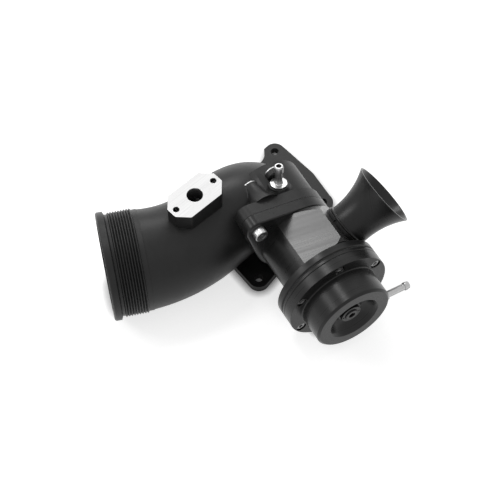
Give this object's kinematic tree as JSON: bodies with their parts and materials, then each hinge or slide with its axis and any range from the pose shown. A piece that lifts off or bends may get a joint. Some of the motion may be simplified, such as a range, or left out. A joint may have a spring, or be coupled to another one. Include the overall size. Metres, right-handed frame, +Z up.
{
  "type": "blow off valve",
  "caption": "Spring loaded diaphragm relief valve with a side trumpet, bolted to a cast throttle elbow with a hose end, sensor pad and engine flange.",
  "frame": {"origin": "centre of the engine flange bore on the mating face", "axes": "+Z up into the elbow, away from the engine; +X against the last stretch of the intake pipe"},
  "size_m": [0.2097, 0.1998, 0.1009],
  "materials": {
    "cast_black": "satin black powder coat on a casting",
    "anodised_black": "black anodised, turned",
    "machined_alloy": "bright machined",
    "steel": "plated steel",
    "black_steel": "blackened steel",
    "bronze": "plain bearing bronze",
    "rubber": "matt black nitrile"
  },
  "bodies": {
    "body": {"elbow_casting": "cast_black", "elbow_hose_tail": "machined_alloy", "engine_seal": "rubber", "pad_seal": "rubber", "body_seal": "rubber", "base_flange": "anodised_black", "base_screws": "steel", "flange_screws": "steel", "valve_body": "anodised_black", "spacer_ring": "anodised_black", "cap": "anodised_black", "cap_screws": "steel", "cap_hose_tail": "machined_alloy", "horn": "anodised_black", "horn_lock_ring": "anodised_black", "horn_seal": "rubber", "guide_bush": "bronze", "shaft_seal": "rubber", "diaphragm": "rubber", "main_spring": "steel", "lock_nut": "anodised_black"},
    "valve": {"poppet": "machined_alloy", "poppet_seal": "rubber", "valve_shaft": "steel", "lower_washer": "machined_alloy", "spring_cup": "machined_alloy", "shaft_nut": "steel"},
    "spring_stop": {"spring_seat": "machined_alloy"},
    "adjuster": {"adjuster_screw": "black_steel", "adjuster_seal": "rubber"}
  },
  "joints": [
    {"name": "valve_lift", "type": "slide", "parent": "body", "child": "valve", "axis": [-0.225, -0.9744, 0], "range_m": [0, 0.007], "stiffness_N_per_m": 2400, "springref_m": -0.009, "deforming": ["main_spring", "diaphragm"]},
    {"name": "preload", "type": "slide", "parent": "body", "child": "spring_stop", "axis": [0.225, 0.9744, 0], "range_m": [0, 0.004]},
    {"name": "adjuster_turn", "type": "hinge", "parent": "spring_stop", "child": "adjuster", "pos_m": [-0.02505, -0.11737, 0.042], "axis": [0.225, 0.9744, 0], "range_deg": [0, 1440]}
  ],
  "couplings": [
    {"joint": "adjuster_turn", "follows": "preload", "rad_per_m": 6283.2}
  ]
}
